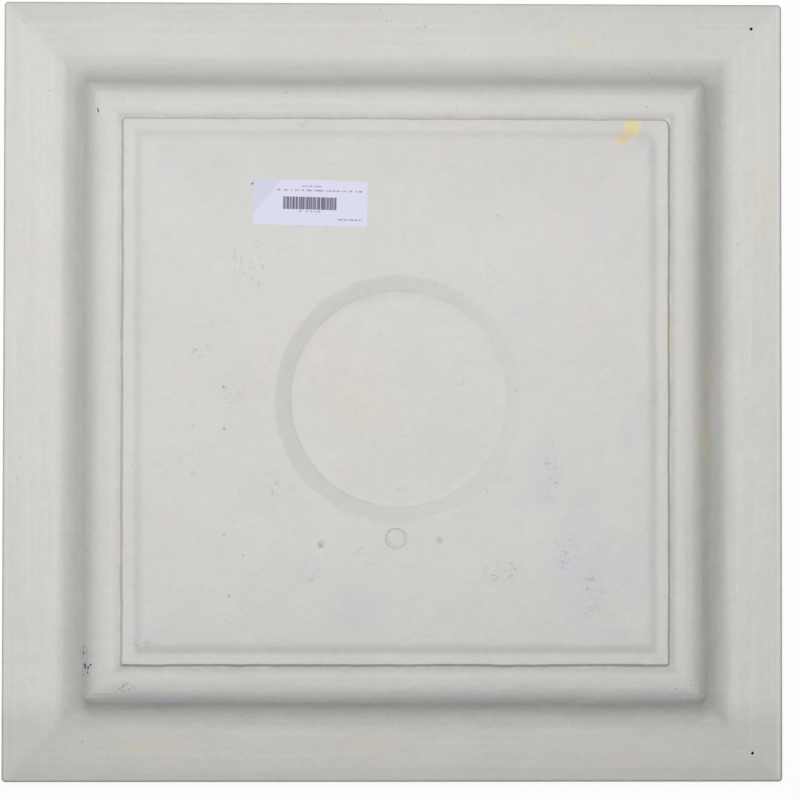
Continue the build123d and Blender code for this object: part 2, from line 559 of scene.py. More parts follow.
    def weather(self, shell: bpy.types.Object, keep_flat: "Patch") -> None:
        """Let the hand-finished back sag a little and its lines wander, never past its outline.

        Args:
            shell: The tile's object.
            keep_flat: The patch under the label, which stays as it is.
        """
        self.fields_for_wear(shell, keep_flat)
        for name, size, depth, direction, middle, group in (
                ("broad_sag", 70 * MM, 0.55 * MM, "Z", 1.0, "sag"),
                ("fine_sag", 16 * MM, 0.30 * MM, "Z", 1.0, "sag"),
                ("wander_x", 34 * MM, 0.9 * MM, "X", 0.5, "wander"),
                ("wander_y", 37 * MM, 0.9 * MM, "Y", 0.5, "wander"),
                ("waver_x", 13 * MM, 0.5 * MM, "X", 0.5, "wander"),
                ("waver_y", 14 * MM, 0.5 * MM, "Y", 0.5, "wander")):
            texture = bpy.data.textures.new(name, "CLOUDS")
            texture.noise_scale = size
            texture.noise_depth = 1
            Bench.modify(shell, "DISPLACE", texture=texture, texture_coords="LOCAL",
                         direction=direction, mid_level=middle, strength=depth, vertex_group=group)
        shell.vertex_groups.clear()

    def build(self, skin: bpy.types.Material, pit_shade_finish: bpy.types.Material,
              hole_shade_finish: bpy.types.Material) -> bpy.types.Object:
        """Model the tile.

        Args:
            skin: The finish of the whole tile.
            pit_shade_finish: The finish inside its shallow pits: painted shade, with some soiling.
            hole_shade_finish: The finish inside its tears and nail holes: painted shade, with some
                soiling.

        Returns:
            The finished object.
        """
        shell = self.blank()
        self.grid(shell)
        self.sink_recess(shell)
        self.raise_medallion(shell)
        shell.data.materials.append(skin)
        Marks(self).cut(shell, pit_shade_finish, hole_shade_finish)
        for corner in self.corners():
            self.round_corner(shell, corner)
        self.weather(shell, LABEL_PATCH)
        Bench.take(shell)
        bpy.ops.object.shade_smooth_by_angle(angle=math.radians(35))
        return shell


@dataclass(frozen=True)
class Pit:
    """A small hollow in the skin of the foam, in millimetres on the back."""

    x: float
    y: float
    width: float
    length: float
    depth: float
    turn: float = 0.0


@dataclass
class Marks:
    """What the mould and handling left in the back: a pin's ring, dents, pits and nail holes."""

    tile: MouldedTile
    nail_hole: float = 1.2 * MM
    nail_holes: tuple[tuple[float, float], ...] = ((279.6, 284.0), (279.6, -280.8))
    pin_ring: tuple[float, float, float] = (1.6, -114.0, 7.6)
    shallow_dents: tuple[tuple[float, float, float, float], ...] = (
        (-55.7, -119.0, 3.4, 0.8), (35.5, -115.9, 3.0, 0.45))
    pits: tuple[Pit, ...] = (
        Pit(-130.9, 2.4, 1.8, 2.2, 0.5), Pit(-130.9, -29.9, 2.2, 1.8, 0.6),
        Pit(-130.6, -111.4, 1.5, 1.7, 0.5), Pit(-116.0, -126.8, 1.3, 1.3, 0.4),
        Pit(-126.7, -158.2, 1.5, 2.0, 0.5), Pit(-154.7, -26.9, 1.3, 1.1, 0.4),
        Pit(80.1, 134.9, 1.3, 1.6, 0.6, 0.5), Pit(218.8, -229.9, 1.6, 1.6, 0.4),
        Pit(-211.5, -229.8, 1.6, 2.2, 0.4), Pit(-207.7, -232.5, 1.9, 1.4, 0.6, 0.4),
        Pit(-203.8, -230.2, 1.7, 1.3, 0.6, 0.7), Pit(-201.1, -228.1, 1.7, 1.1, 0.5, 0.6),
        Pit(-237.6, -206.8, 1.2, 1.8, 0.4), Pit(-234.3, -220.6, 1.2, 2.0, 0.5, -0.4),
        Pit(-239.6, -184.5, 1.0, 1.7, 0.4), Pit(-238.4, -192.0, 1.1, 2.4, 0.5, 0.2),
        Pit(-236.9, -224.4, 1.0, 2.0, 0.5), Pit(-238.6, -230.0, 0.9, 1.6, 0.4))
    tears: tuple[Pit, ...] = (
        Pit(-239.1, -203.0, 1.3, 3.2, 0.6, 0.15), Pit(-238.0, -213.1, 2.4, 4.4, 1.5, 0.1),
        Pit(-235.6, -214.4, 1.5, 3.4, 1.1, -0.3), Pit(-235.9, -217.8, 1.6, 1.9, 0.9),
        Pit(-228.5, 216.4, 1.1, 4.4, 0.8, 0.25), Pit(-233.6, -212.0, 1.2, 4.6, 0.9, -0.95))

    def surface(self, shell: bpy.types.Object, x: float, y: float) -> float:
        """Return the height of the back at a place, in metres."""
        hit, point, _, _ = shell.ray_cast(Vector((x, y, 0.2)), Vector((0, 0, -1)))
        return point.z if hit else self.tile.back

    def pit(self, shell: bpy.types.Object, pit: Pit) -> bpy.types.Object:
        """Model one pit's cutter.

        Args:
            shell: The tile's object.
            pit: The pit's place and size.

        Returns:
            The cutter.
        """
        x, y = pit.x * MM, pit.y * MM
        Bench.clear()
        bpy.ops.mesh.primitive_ico_sphere_add(
            subdivisions=2, radius=1.0, location=(x, y, self.surface(shell, x, y)),
            rotation=(0, 0, pit.turn), scale=(pit.width / 2 * MM, pit.length / 2 * MM, pit.depth * MM))
        return Bench.name("pit")

    def holes(self) -> Iterator[bpy.types.Object]:
        """Yield the cutters of the nail holes, in their places."""
        for x, y in self.nail_holes:
            Bench.clear()
            bpy.ops.mesh.primitive_cylinder_add(
                vertices=24, radius=self.nail_hole, depth=4 * self.tile.border_thickness,
                location=(x * MM, y * MM, 0))
            yield Bench.name("nail_hole")

    def dents(self, shell: bpy.types.Object) -> Iterator[bpy.types.Object]:
        """Yield the cutters of the two shallow dents, in their places.

        Args:
            shell: The tile's object.
        """
        for x, y, radius, depth in self.shallow_dents:
            ball = (radius ** 2 + depth ** 2) / (2 * depth) * MM
            Bench.clear()
            level = self.surface(shell, x * MM, y * MM)
            bpy.ops.mesh.primitive_uv_sphere_add(
                segments=48, ring_count=96, radius=ball,
                location=(x * MM, y * MM, level + ball - depth * MM))
            yield Bench.name("dent")

    def rings(self, shell: bpy.types.Object) -> Iterator[bpy.types.Object]:
        """Yield the cutters of the ejector pin's two overlapping rings.

        Args:
            shell: The tile's object.
        """
        x, y, radius = (size * MM for size in self.pin_ring)
        for move, size, line in ((0.0, 1.0, 0.75), (0.75, 0.88, 0.4)):
            Bench.clear()
            at = (x + move * MM, y + move * MM)
            bpy.ops.mesh.primitive_torus_add(
                major_segments=48, minor_segments=10, major_radius=radius * size,
                minor_radius=line * MM, location=(*at, self.surface(shell, *at) + 0.15 * MM))
            yield Bench.name("pin_ring")

    def cut(self, shell: bpy.types.Object, pit_shade_finish: bpy.types.Material,
            hole_shade_finish: bpy.types.Material) -> None:
        """Cut every mark into the back, those that overlap one after another.

        Args:
            shell: The tile's object.
            pit_shade_finish: The finish that the inside of a shallow pit gets: painted shade, with some
                soiling.
            hole_shade_finish: The finish that the inside of a tear or nail hole gets: painted shade, with
                some soiling.
        """
        first_ring, second_ring = self.rings(shell)
        pits = [self.pit(shell, pit) for pit in self.pits]
        tears = [self.pit(shell, pit) for pit in self.tears]
        fork = tears.pop()
        holes = list(self.holes())
        # pits and holes get their dark finishes of painted shade
        for finish, cutters in ((pit_shade_finish, pits), (hole_shade_finish, [*tears, fork, *holes])):
            for cutter in cutters:
                cutter.data.materials.append(finish)
        for cutters in ([first_ring, *holes, *pits, *tears], [second_ring, *self.dents(shell), fork]):
            for cutter in cutters:
                if not cutter.data.materials:
                    cutter.data.materials.append(shell.data.materials[0])
            Bench.clear()
            for cutter in cutters:
                cutter.select_set(True)
            bpy.context.view_layer.objects.active = cutters[0]
            bpy.ops.object.join()
            tool = bpy.context.object
            Bench.modify(shell, "BOOLEAN", operation="DIFFERENCE", solver="MANIFOLD", object=tool,
                         material_mode="TRANSFER")
            bpy.data.objects.remove(tool)


class Field:
    """A value that varies over a surface: one output of a node, with its maths."""

    def __init__(self, palette: "Palette", socket: bpy.types.NodeSocket) -> None:
        """Wrap one socket of the palette's node tree."""
        self.palette = palette
        self.socket = socket

    def maths(self, operation: str, *values: "Field | float") -> "Field":
        """Return the result of a Math node on these values."""
        return self.palette.field("ShaderNodeMath", {"operation": operation}, dict(enumerate(values)))

    def __add__(self, other: "Field | float") -> "Field":
        """Add a field or a number."""
        return self.maths("ADD", self, other)

    __radd__ = __add__

    def __mul__(self, other: "Field | float") -> "Field":
        """Multiply by a field or a number."""
        return self.maths("MULTIPLY", self, other)

    __rmul__ = __mul__

    def __sub__(self, other: "Field | float") -> "Field":
        """Subtract a field or a number."""
        return self.maths("SUBTRACT", self, other)

    def __rsub__(self, other: "Field | float") -> "Field":
        """Subtract this field from a number."""
        return self.maths("SUBTRACT", other, self)

    def __truediv__(self, other: "Field | float") -> "Field":
        """Divide by a field or a number."""
        return self.maths("DIVIDE", self, other)

    def size(self) -> "Field":
        """Return the absolute value."""
        return self.maths("ABSOLUTE", self)

    def most(self, other: "Field | float") -> "Field":
        """Return the larger of two."""
        return self.maths("MAXIMUM", self, other)

    def between(self, low: float, high: float, top: float = 1.0) -> "Field":
        """Change smoothly from 0 at low to the top value at high, whichever is the larger."""
        ends = (0.0, top) if low < high else (top, 0.0)
        return self.palette.field("ShaderNodeMapRange", {"interpolation_type": "SMOOTHSTEP"},
                                  {"Value": self, "From Min": min(low, high),
                                   "From Max": max(low, high), "To Min": ends[0],
                                   "To Max": ends[1]})


class Palette:
    """The node tree of one material, and the few ways in which its nodes are made."""

    def __init__(self, name: str) -> None:
        """Start a material with a bare Principled shader.

        Args:
            name: The material's name.
        """
        self.material = bpy.data.materials.new(name)
        self.material.use_nodes = True
        self.tree = self.material.node_tree
        self.shader = self.tree.nodes["Principled BSDF"]
        place = self.node("ShaderNodeTexCoord")
        self.place = Field(self, place.outputs["Object"])
        self.frames: dict[tuple, Field] = {}

    def node(self, kind: str, settings: dict | None = None,
             values: dict | None = None) -> bpy.types.Node:
        """Make a node.

        Args:
            kind: The node's type.
            settings: Its own settings, which are set first.
            values: What goes into its sockets, by name or number: fields or plain values.

        Returns:
            The node.
        """
        node = self.tree.nodes.new(kind)
        for key, value in (settings or {}).items():
            setattr(node, key, value)
        for key, value in (values or {}).items():
            if isinstance(value, Field):
                self.tree.links.new(value.socket, node.inputs[key])
            else:
                node.inputs[key].default_value = value
        return node

    def field(self, kind: str, settings: dict | None = None, values: dict | None = None,
              output: int | str = 0) -> Field:
        """Make a node and return one of its outputs."""
        return Field(self, self.node(kind, settings, values).outputs[output])

    def noise(self, grain: float, detail: float = 2.0, place: Field | None = None,
              rough: float = 0.5) -> Field:
        """Return a noise whose grains measure about this many metres."""
        return self.field("ShaderNodeTexNoise", {"noise_dimensions": "3D"},
                          {"Vector": place or self.place, "Scale": 1 / grain, "Detail": detail,
                           "Roughness": rough})

    def moved(self, shift: tuple = (0, 0, 0), turn: float = 0.0, scale: tuple = (1, 1, 1),
              place: Field | None = None) -> Field:
        """Return the place as seen from a shifted, turned and scaled frame."""
        return self.field("ShaderNodeMapping", {"vector_type": "TEXTURE"},
                          {"Vector": place or self.place, "Location": shift,
                           "Rotation": (0, 0, turn), "Scale": scale})

    def axes(self, place: Field | None = None) -> tuple[Field, Field, Field]:
        """Return the three parts of a place."""
        parts = self.node("ShaderNodeSeparateXYZ", values={"Vector": place or self.place})
        return tuple(Field(self, socket) for socket in parts.outputs)

    def wavered(self, grain: float, reach: float) -> Field:
        """Return the place, pushed about by a noise, so that what is drawn on it has ragged edges.

        Args:
            grain: The size of the noise.
            reach: How far it pushes at most.

        Returns:
            The pushed place.
        """
        push = self.field("ShaderNodeTexNoise", {}, {"Vector": self.place, "Scale": 1 / grain,
                                                     "Detail": 3.0}, "Color")
        centred = self.field("ShaderNodeVectorMath", {"operation": "SUBTRACT"},
                             {0: push, 1: (0.5, 0.5, 0.5)})
        scaled = self.field("ShaderNodeVectorMath", {"operation": "SCALE"},
                            {0: centred, "Scale": 2 * reach})
        return self.field("ShaderNodeVectorMath", {"operation": "ADD"}, {0: self.place, 1: scaled})

    def mix(self, share: Field | float, under: Field | Colour, over: Field | Colour,
            blend: str = "MIX") -> Field:
        """Mix two colours.

        Args:
            share: How much of the second colour shows.
            under: The first colour.
            over: The second colour.
            blend: How they mix.

        Returns:
            The mixed colour.
        """
        def colour(value: Field | Colour) -> Field | tuple:
            """Give a plain colour its alpha."""
            return value if isinstance(value, Field) else (*value, 1.0)

        return self.field("ShaderNodeMix", {"data_type": "RGBA", "blend_type": blend},
                          {0: share, 6: colour(under), 7: colour(over)}, 2)

    def darken(self, share: Field, colour: Field, by: float) -> Field:
        """Darken a colour by this much where the share is 1."""
        return self.mix(share, colour, (1 - by, 1 - by, 1 - by), "MULTIPLY")

    def vary(self, colour: Field, by: Field) -> Field:
        """Multiply a colour by a grey field that lies about 1."""
        grey = self.field("ShaderNodeCombineXYZ", {}, {"X": by, "Y": by, "Z": by})
        return self.mix(1.0, colour, grey, "MULTIPLY")

    def feed(self, fields: dict[str, Field]) -> None:
        """Lead fields into the shader's sockets of these names."""
        for name, value in fields.items():
            self.tree.links.new(value.socket, self.shader.inputs[name])

    def bump(self, height: Field, reach: float, strength: float) -> Field:
        """Return the normal of a surface with this fine relief."""
        return self.field("ShaderNodeBump", {}, {"Height": height, "Distance": reach,
                                                 "Strength": strength}, "Normal")


@dataclass(frozen=True)
class Sides:
    """How far a place belongs to each of the tile's four sides, each from 0 to 1."""

    aside: Field
    right: Field
    left: Field
    top: Field
    bottom: Field

    @classmethod
    def of(cls, x: Field, y: Field) -> "Sides":
        """Tell the sides apart along the diagonals.

        Args:
            x: The place's first part.
            y: Its second part.

        Returns:
            The shares.
        """
        aside = (x.size() - y.size()).between(-6 * MM, 6 * MM)
        right = aside * x.between(-1 * MM, MM)
        top = (1 - aside) * y.between(-1 * MM, MM)
        return cls(aside, right, aside - right, top, 1 - aside - top)


@dataclass(frozen=True)
class Stain:
    """A spot on the back: its place and half sizes in millimetres, its turn and its colour."""

    x: float
    y: float
    reach_x: float
    reach_y: float
    turn: float
    colour: Colour
    strength: float
    speckled: bool = False


@dataclass(frozen=True)
class Foam:
    """Off-white rigid foam with its moulding skin, handled, stained and a little soiled, with shade and
    highlights painted into its colour.
    """

    tile: MouldedTile
    base: Colour = (0.640, 0.630, 0.605)
    green: Colour = (0.628, 0.634, 0.598)
    pink: Colour = (0.648, 0.626, 0.606)
    lavender: Colour = (0.590, 0.575, 0.640)
    # dark finishes inside holes and pits: painted shade of deep cavities, with some soiling
    hole_shade_and_grime: Colour = (0.15, 0.145, 0.155)
    pit_shade_and_dust: Colour = (0.50, 0.49, 0.48)
    ochre: Colour = (0.78, 0.56, 0.20)
    yellow: Colour = (0.80, 0.68, 0.25)
    warm: Colour = (0.72, 0.64, 0.44)
    grey: Colour = (0.36, 0.35, 0.35)
    dark: Colour = (0.10, 0.10, 0.11)
    chalk: Colour = (0.74, 0.73, 0.70)
    edge_highlight: Colour = (0.71, 0.70, 0.68)
    # painted highlight of the streaks along the border
    streak_highlight: Colour = (0.70, 0.69, 0.66)
    halo: Colour = (0.664, 0.666, 0.630)

    def stains(self) -> Iterator[Stain]:
        """Yield every stain that the back shows."""
        yield Stain(184.6, 204.6, 7.6, 7.6, 0.0, self.yellow, 0.62)
        yield Stain(180.0, 199.5, 9.0, 5.0, 0.75, self.ochre, 0.40)
        yield Stain(176.0, 195.0, 5.5, 4.0, 0.75, self.ochre, 0.28)
        yield Stain(-109.4, 159.5, 0.9, 1.0, 0.0, self.dark, 0.85)
        yield Stain(237.0, -226.0, 8.0, 8.0, 0.0, self.chalk, 0.45, True)
        for x, y, across, up, strength in (
                (-56.2, -119.2, 2.6, 2.3, 0.75), (35.5, -115.9, 2.4, 3.2, 0.45),
                (195.8, 220.2, 1.1, 1.1, 0.50), (94.2, 0.0, 1.3, 1.3, 0.30),
                (-240.8, -272.0, 1.2, 1.2, 0.40)):
            yield Stain(x, y, across, up, 0.0, self.grey, strength)
        for x, y, across, up, strength in (
                (-288.7, 289.3, 8.0, 4.0, 0.35), (-213.4, 225.2, 6.0, 3.0, 0.60),
                (20.0, 285.0, 8.0, 3.0, 0.30), (-91.0, 230.0, 11.0, 2.6, 0.50),
                (71.0, -79.0, 7.0, 5.0, 0.30), (4.7, 113.5, 6.0, 3.0, 0.35),
                (-70.0, 206.0, 7.0, 4.0, 0.30), (86.0, 161.5, 3.0, 2.8, 0.75),
                (-206.0, -230.0, 9.0, 4.5, 0.55), (-238.4, -208.0, 4.0, 16.0, 0.80),
                (-112.0, 95.0, 18.0, 24.0, 0.30), (-150.0, 33.0, 12.0, 10.0, 0.30),
                (-126.0, 0.0, 10.0, 26.0, 0.24), (-100.0, -74.0, 20.0, 14.0, 0.28),
                (-165.0, -60.0, 22.0, 20.0, 0.14), (-22.0, -128.0, 7.0, 18.0, 0.26),
                (82.0, -140.0, 13.0, 13.0, 0.50), (122.0, -60.0, 8.0, 30.0, 0.34),
                (132.0, -125.0, 9.0, 22.0, 0.34), (152.0, -158.0, 12.0, 20.0, 0.36),
                (-193.0, -193.0, 12.0, 8.0, 0.40), (194.0, 186.0, 8.0, 8.0, 0.25),
                (-38.0, -18.0, 16.0, 20.0, 0.13), (54.0, 12.0, 8.0, 14.0, 0.22),
                (-66.0, -145.0, 9.0, 2.0, 0.42), (2.0, -70.0, 20.0, 8.0, 0.16),
                (75.0, 95.0, 18.0, 14.0, 0.16), (-90.0, 110.0, 20.0, 3.0, 0.26),
                (10.0, 118.0, 20.0, 8.0, 0.12), (234.0, -231.0, 10.0, 9.0, 0.28)):
            yield Stain(x, y, across, up, 0.0, self.grey, strength, True)

    def washes(self) -> Iterator[Stain]:
        """Yield the broad faint tints of the back."""
        for x, y, across, up, strength in (
                (118.0, -60.0, 14.0, 26.0, 0.55), (105.0, -84.0, 18.0, 12.0, 0.50),
                (145.0, -130.0, 30.0, 44.0, 0.50), (185.0, -140.0, 14.0, 34.0, 0.40),
                (182.0, -30.0, 8.0, 14.0, 0.45), (-28.0, -168.0, 20.0, 16.0, 0.42),
                (-62.0, -143.0, 9.0, 6.0, 0.35), (-178.0, 178.0, 7.0, 12.0, 0.40),
                (194.0, 186.0, 8.0, 14.0, 0.50), (155.0, 130.0, 14.0, 10.0, 0.30),
                (100.0, 58.0, 8.0, 8.0, 0.30), (-191.0, -188.0, 10.0, 9.0, 0.40),
                (55.0, -190.0, 10.0, 6.0, 0.30), (160.0, -188.0, 24.0, 6.0, 0.40),
                (-180.0, -238.0, 40.0, 5.0, 0.55), (60.0, -238.5, 52.0, 4.0, 0.50),
                (205.0, -236.0, 26.0, 5.0, 0.45), (110.0, 5.0, 10.0, 10.0, 0.30),
                (120.0, 236.0, 40.0, 5.0, 0.20), (-237.4, -215.0, 3.0, 12.0, 0.75)):
            yield Stain(x, y, across, up, 0.0, self.lavender, strength)
        for x, y, across, up, strength in (
                (242.0, -40.0, 5.0, 22.0, 0.55), (243.0, 10.0, 4.0, 40.0, 0.25),
                (213.0, 42.0, 4.0, 24.0, 0.30), (-190.0, -277.0, 34.0, 7.0, 0.30),
                (-20.0, -277.0, 24.0, 7.0, 0.25), (144.0, 274.0, 10.0, 4.0, 0.35),
                (180.0, -288.0, 10.0, 4.0, 0.30), (-30.0, -10.0, 24.0, 20.0, 0.14),
                (155.0, 54.0, 8.0, 8.0, 0.16), (290.0, 150.0, 5.0, 90.0, 0.14)):
            yield Stain(x, y, across, up, 0.0, self.warm, strength)

    def spot(self, paint: Palette, stain: Stain, place: Field) -> Field:
        """Return how much of a stain shows at each place.

        Stains of like proportions share one stretched frame, which keeps the shader small.

        Args:
            paint: The material's palette.
            stain: The stain.
            place: The place, wavered or not.

        Returns:
            The share.
        """
        wanted = math.log(stain.reach_y / stain.reach_x)
        stretch = min((0.25, 0.5, 1.0, 2.0, 4.0), key=lambda ratio: abs(math.log(ratio) - wanted))
        key = (id(place), stretch, stain.turn)
        if key not in paint.frames:
            paint.frames[key] = paint.moved(turn=stain.turn, scale=(1, stretch, 1e6), place=place)
        cos, sin = math.cos(stain.turn), math.sin(stain.turn)
        centre = ((stain.x * cos + stain.y * sin) * MM,
                  (stain.y * cos - stain.x * sin) * MM / stretch, 0)
        out = paint.field("ShaderNodeVectorMath", {"operation": "DISTANCE"},
                          {0: paint.frames[key], 1: centre}, "Value")
        reach = math.sqrt(stain.reach_x * stain.reach_y / stretch) * MM
        return out.between(1.25 * reach, 0.45 * reach, stain.strength)

    def square(self, paint: Palette, line_in: float, place: Field) -> Field:
        """Return the distance from one of the tile's square lines, positive inside it.

        Args:
            paint: The material's palette.
            line_in: How far the line lies from the outline.
            place: The place, wavered or not.

        Returns:
            The distance.
        """
        x, y, _ = paint.axes(place)
        half = self.tile.side / 2 - line_in
        moved = self.tile.shift if line_in > self.tile.border_width else (0.0, 0.0)
        return half - (x - moved[0]).size().most((y - moved[1]).size())

    def mottle(self, paint: Palette) -> Field:
        """Return the skin's colour before its stains.

        Args:
            paint: The material's palette.

        Returns:
            The colour.
        """
        patches = paint.noise(95 * MM, 3.0)
        tone = paint.mix(patches.between(0.52, 0.60), self.base, self.green)
        other = paint.noise(80 * MM, 3.0, paint.moved((0.3, 0.1, 0)))
        tone = paint.mix(other.between(0.51, 0.60, 0.6), tone, self.pink)
        broad = paint.noise(52 * MM, 3.0, paint.moved((0.0, 0.4, 0)))
        fine = paint.noise(6 * MM, 4.0, rough=0.62)
        grain = paint.noise(1.3 * MM, 2.0)
        return paint.vary(tone, 0.5 * (1.0 + 0.18 * broad + 0.19 * fine + 0.09 * grain) + 0.365)

    def streaks(self, paint: Palette, colour: Field) -> Field:
        """Add the long faint light and dark streaks that run along the border and the moulding: painted
        shade and painted highlight of its uneven surface.

        Args:
            paint: The material's palette.
            colour: The colour so far.

        Returns:
            The new colour.
        """
        x, y, _ = paint.axes()
        length, width = 180 * MM, 4.5 * MM
        across = paint.noise(1.0, 4.0, paint.moved(scale=(length, width, 1.0)))
        along = paint.noise(1.0, 4.0, paint.moved(scale=(width, length, 1.0)))
        sides = (x.size() - y.size()).between(-3 * MM, 3 * MM)
        streak = along * sides + across * (1 - sides)
        rim = self.square(paint, self.tile.step_in, paint.place).between(4 * MM, -2 * MM)
        # painted shade and painted highlight: faint dark and light streaks along the wavy border and
        # moulding
        colour = paint.darken(rim * streak.between(0.50, 0.30), colour, 0.028)
        return paint.mix(rim * streak.between(0.52, 0.68) * 0.28, colour, self.streak_highlight)

    def from_recess(self, paint: Palette, place: Field) -> Field:
        """Return the place in plan as seen from the recess's axis."""
        centre = paint.moved((*self.tile.recess_at, 0), place=place)
        return paint.field("ShaderNodeVectorMath", {"operation": "MULTIPLY"}, {0: centre, 1: (1, 1, 0)})

    def dirt_and_shade(self, paint: Palette, colour: Field, *coats: tuple[Field, float]) -> Field:
        """Darken a colour by several coats, some of them soiling and some painted shade, each a share and
        how much it darkens.
        """
        for share, by in coats:
            colour = paint.darken(share, colour, by)
        return colour

    def crease(self, paint: Palette, colour: Field, place: Field, sides: Sides, dirt_and_shade_patches: Field) -> Field:
        """Darken the crease at the foot of the step with soiling and painted shade, and paint shade beside
        it: most just outside it on the right and bottom, and over the top side.

        Args:
            paint: The material's palette.
            colour: The colour so far.
            place: The ragged place.
            sides: The tile's sides.
            dirt_and_shade_patches: How strongly the soiling and painted shade of the lines show at each
                place.

        Returns:
            The new colour.
        """
        crease = self.square(paint, self.tile.step_in, place)
        line = crease.size().between(3.0 * MM, 0.3 * MM)
        near = crease.between(-6.5 * MM, -0.5 * MM) * crease.between(0.3 * MM, -0.7 * MM)
        within = crease.between(-16 * MM, -2 * MM) * crease.between(100 * MM, 12 * MM)
        # painted shade: the crease line, partly soiling, the shade just outside it, darkest right and
        # bottom, and the darker top side
        return self.dirt_and_shade(paint, colour, (line * dirt_and_shade_patches, 0.09),
                         (near * (0.3 + 0.5 * sides.right + 0.6 * sides.bottom), 0.24),
                         (within * (sides.top + 0.75 * sides.bottom), 0.04),
                         (sides.top * crease.between(0.0, -30 * MM), 0.035))

    def moulding(self, paint: Palette, colour: Field, place: Field, sides: Sides) -> Field:
        """Darken the turn of the ogee and its two slopes with painted shade, weighted side by side, and
        some soiling, and paint light onto the left and right border beside it.

        Args:
            paint: The material's palette.
            colour: The colour so far.
            place: The ragged place.
            sides: The tile's sides.

        Returns:
            The new colour.
        """
        right, left, top, bottom = sides.right, sides.left, sides.top, sides.bottom
        cusp = self.square(paint, self.tile.cusp_in, place)
        hollow = cusp.between(-20 * MM, -10 * MM) * cusp.between(0.0, -6 * MM)
        shoulder = cusp.between(-1 * MM, 4 * MM) * cusp.between(15 * MM, 6 * MM)
        early = cusp.between(-25 * MM, -15 * MM) * cusp.between(-4 * MM, -11 * MM)
        # painted shade, with some soiling: the ogee's turn and slopes, weighted side by side
        colour = self.dirt_and_shade(paint, colour, (cusp.size().between(13 * MM, 0.5 * MM), 0.08),
                           (hollow * (0.72 * right + 0.62 * left + 0.35 * top), 0.15),
                           (shoulder * (right + 0.55 * left + 0.85 * top + 0.3 * bottom), 0.12),
                           (early * (1 - bottom), 0.055),
                           (cusp.size().between(9 * MM, 0.0) * top, 0.09))
        # painted light: the left and right border lightened
        border = cusp.between(-12 * MM, -24 * MM) * (left + 0.45 * right)
        return paint.vary(colour, 1 + 0.034 * border)

    def edge(self, paint: Palette, colour: Field, place: Field, sides: Sides, dirt_and_shade_patches: Field) -> Field:
        """Darken the tile's edge and its bottom border with painted shade, partly soiling along the rim,
        and paint a highlight along the rounded edge, strongest on the right.

        Args:
            paint: The material's palette.
            colour: The colour so far.
            place: The ragged place.
            sides: The tile's sides.
            dirt_and_shade_patches: How strongly the soiling and painted shade of the lines show at each
                place.

        Returns:
            The new colour.
        """
        _, y, _ = paint.axes(place)
        rim = self.square(paint, 0.0, place)
        shade = 0.5 - 0.3 * sides.aside + 0.5 * sides.bottom
        # painted shade: darker along the bottom, darker towards the outline, most at the bottom, and a
        # dark rim line, partly soiling
        colour = self.dirt_and_shade(paint, colour, ((-1.0 * y).between(232 * MM, 262 * MM), 0.12),
                           (rim.between(22 * MM, 0.0) * shade, 0.09),
                           (rim.between(1.9 * MM, 0.8 * MM) * (0.45 + 0.55 * dirt_and_shade_patches), 0.14))
        # painted highlight along the rounded edge, strongest on the right
        edge_highlight = rim.between(1.7 * MM, 2.6 * MM) * rim.between(5.5 * MM, 3.4 * MM)
        return paint.mix(edge_highlight * (0.5 * sides.aside - 0.3 * sides.left), colour, self.edge_highlight)

    def centre(self, paint: Palette, colour: Field, ragged: Field, soft: Field, dirt_and_shade_patches: Field) -> Field:
        """Darken the bevel's dip, the recess's slope and foot, and the ejector pin's ring: painted shade,
        with soiling along the foot line and the ring.

        Args:
            paint: The material's palette.
            colour: The colour so far.
            ragged: The place with short ragged edges.
            soft: The place with long soft edges.
            dirt_and_shade_patches: How strongly the soiling and painted shade of the lines show at each
                place.

        Returns:
            The new colour.
        """
        x, y, _ = paint.axes(ragged)
        flat = self.from_recess(paint, ragged)
        out, loose_out = (paint.field("ShaderNodeVectorMath", {"operation": "LENGTH"}, {0: plan}, "Value")
                          for plan in (flat, self.from_recess(paint, soft)))
        foot_in, rim_in = self.tile.recess_floor + 0.2 * MM, 97.0 * MM
        bevel = self.square(paint, self.tile.panel_in, ragged)
        dip = bevel.between(-0.5 * MM, 1.0 * MM) * bevel.between(7.0 * MM, 4.0 * MM)
        slope = out.between(foot_in - 1.2 * MM, foot_in) * loose_out.between(rim_in, rim_in - 2.4 * MM)
        side = 0.55 - x * (0.225 / self.tile.recess_floor) - y * (0.35 / self.tile.recess_floor)
        lower = (y - x).between(20 * MM, 90 * MM).most((-1.0 * x - y).between(30 * MM, 90 * MM))
        line = (out - foot_in).size().between(1.1 * MM, 0.2 * MM)
        pin_x, pin_y, pin_radius = (size * MM for size in Marks(self.tile).pin_ring)
        pin_at = (pin_x - self.tile.recess_at[0], pin_y - self.tile.recess_at[1], 0)
        pin = paint.field("ShaderNodeVectorMath", {"operation": "DISTANCE"}, {0: flat, 1: pin_at}, "Value")
        ring = (pin - pin_radius).size().between(1.3 * MM, 0.2 * MM)
        # painted shade: the bevel's dip, the recess's slope, darker to the left and bottom, its foot line
        # and the pin ring's groove, the last two partly soiling
        colour = self.dirt_and_shade(paint, colour, (dip, 0.04), (slope * side, 0.08),
                           (line * (0.1 + 0.9 * lower) * dirt_and_shade_patches, 0.07),
                           (ring * (0.35 + 0.65 * dirt_and_shade_patches), 0.13))
        halo = loose_out.between(rim_in, 101 * MM) * loose_out.between(146 * MM, 122 * MM)
        upper = (x * 0.35 + y).between(-10 * MM, 60 * MM)
        return paint.mix(halo * upper * 0.08, colour, self.halo)

    def lines(self, paint: Palette, colour: Field, ragged: Field, soft: Field) -> Field:
        """Darken all the lines of the back with soiling and painted shade.

        Args:
            paint: The material's palette.
            colour: The colour so far.
            ragged: The place with short ragged edges.
            soft: The place with long soft edges.

        Returns:
            The new colour.
        """
        x, y, _ = paint.axes(ragged)
        sides = Sides.of(x, y)
